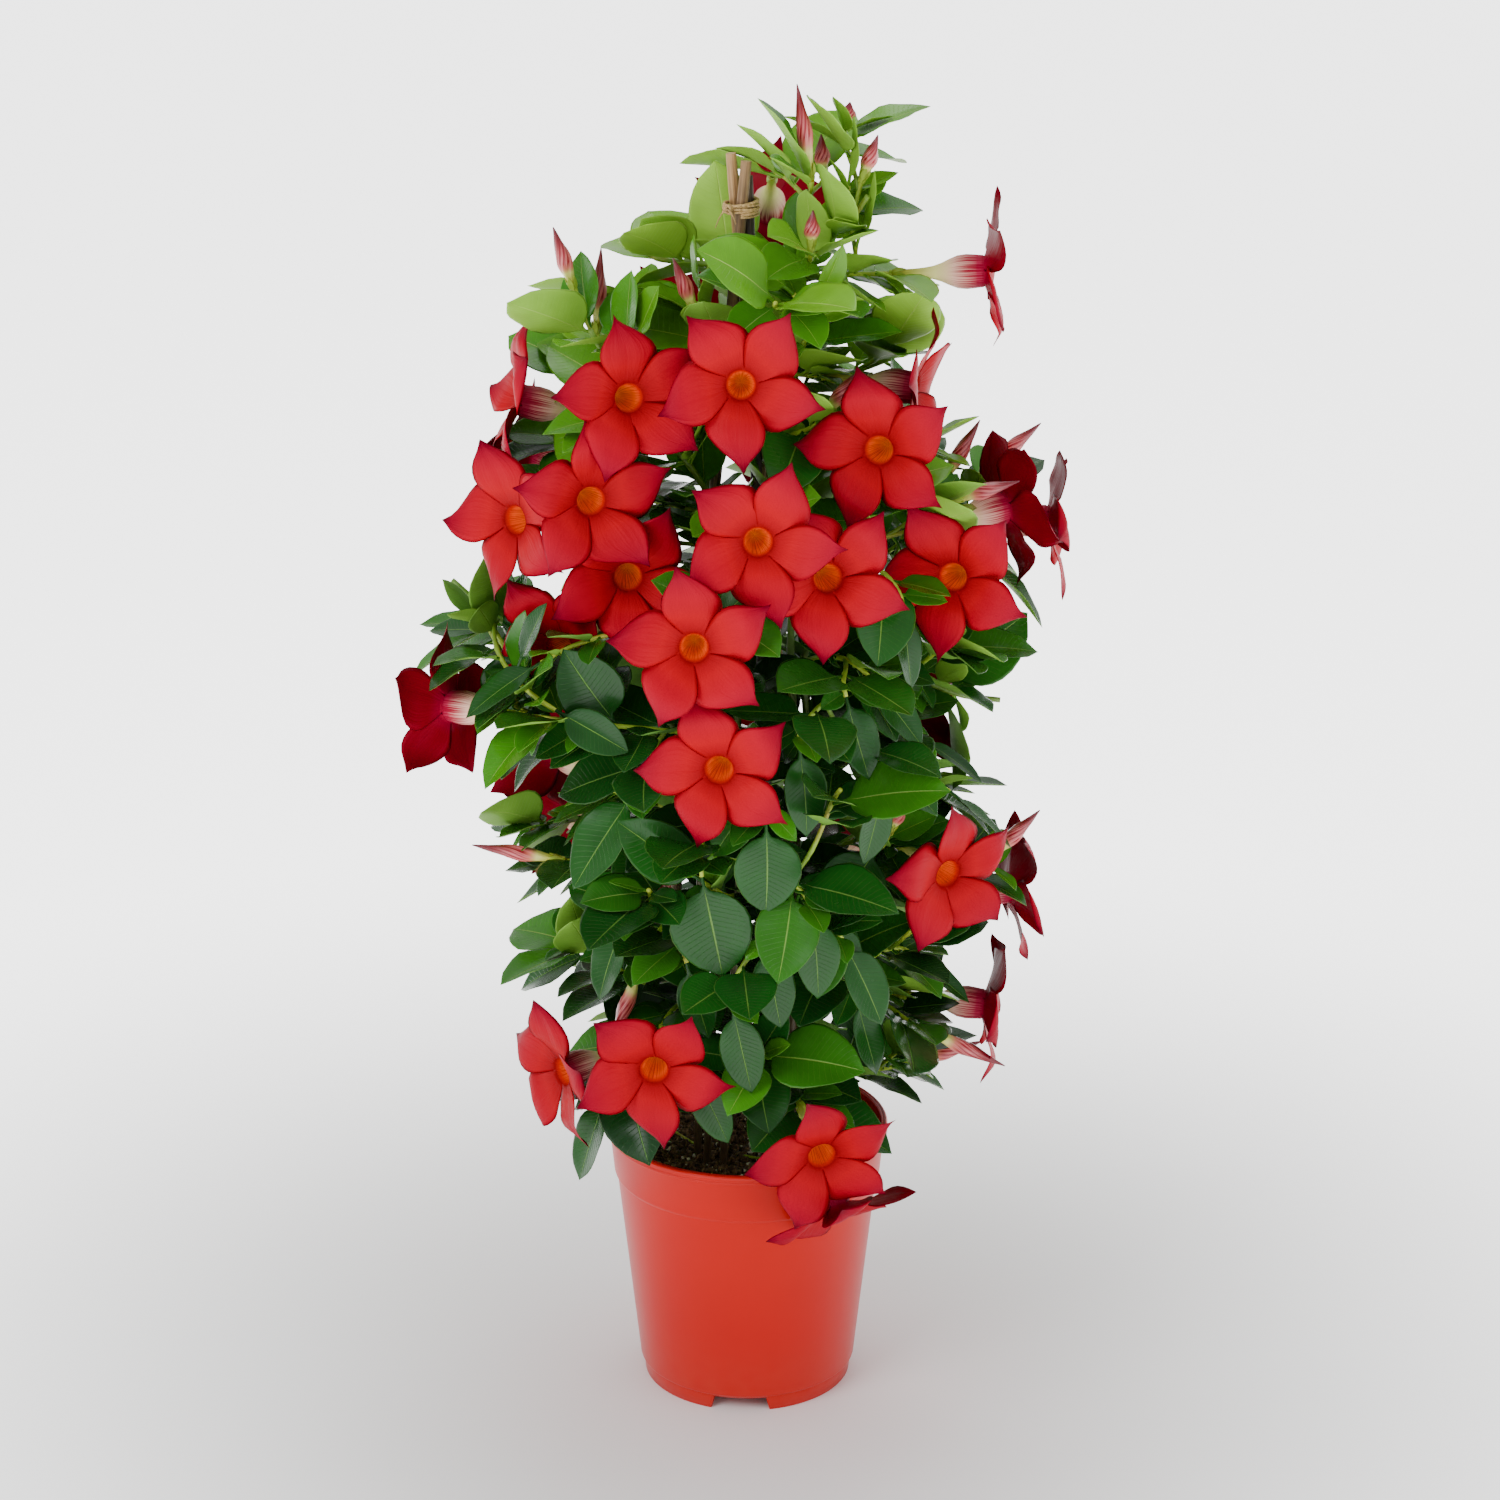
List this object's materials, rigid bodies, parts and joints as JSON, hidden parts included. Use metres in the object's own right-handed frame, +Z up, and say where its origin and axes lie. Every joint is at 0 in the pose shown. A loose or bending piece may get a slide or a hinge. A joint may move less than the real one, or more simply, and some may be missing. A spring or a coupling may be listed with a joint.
{
  "type": "potted mandevilla",
  "caption": "Climbing mandevilla with red trumpet flowers, trained up a tied teepee of bamboo canes in an orange-red nursery pot.",
  "frame": {"origin": "on the surface the pot stands on, under the middle of the whole plant and within 4 mm of the pot's own middle", "axes": "+Z up; -Y is the front, the side that shows most flowers; +X is the right hand side seen from the front"},
  "size_m": [0.3424, 0.2819, 0.6927],
  "materials": {
    "pot_plastic": "satin",
    "soil": "matte",
    "bamboo": "satin",
    "raffia": "matte",
    "leaf": "satin",
    "petal": "satin"
  },
  "bodies": {
    "root": {"pot": "pot_plastic", "soil": "soil", "cane_left": "bamboo", "cane_front": "bamboo", "cane_right": "bamboo", "tie": "raffia", "stem_1": "leaf", "stem_2": "leaf", "stem_3": "leaf", "stem_4": "leaf", "stem_5": "leaf", "stem_6": "leaf", "stem_7": "leaf", "stem_8": "leaf", "stem_9": "leaf", "stem_10": "leaf", "bloom_01": "petal", "bloom_02": "petal", "bloom_03": "petal", "bloom_04": "petal", "bloom_05": "petal", "bloom_06": "petal", "bloom_07": "petal", "bloom_08": "petal", "bloom_09": "petal", "bloom_10": "petal", "bloom_11": "petal", "bloom_12": "petal", "bloom_13": "petal", "bloom_14": "petal", "bloom_15": "petal", "bloom_16": "petal", "bloom_17": "petal", "bloom_18": "petal", "bloom_19": "petal", "bloom_20": "petal", "bloom_21": "petal", "bloom_22": "petal", "bloom_23": "petal", "bloom_24": "petal", "bloom_25": "petal", "bloom_26": "petal", "bloom_27": "petal", "bloom_28": "petal", "bloom_29": "petal", "bloom_30": "petal", "bloom_31": "petal", "bloom_32": "petal", "bloom_33": "petal", "bloom_34": "petal", "bloom_35": "petal", "bloom_36": "petal"}
  },
  "joints": []
}
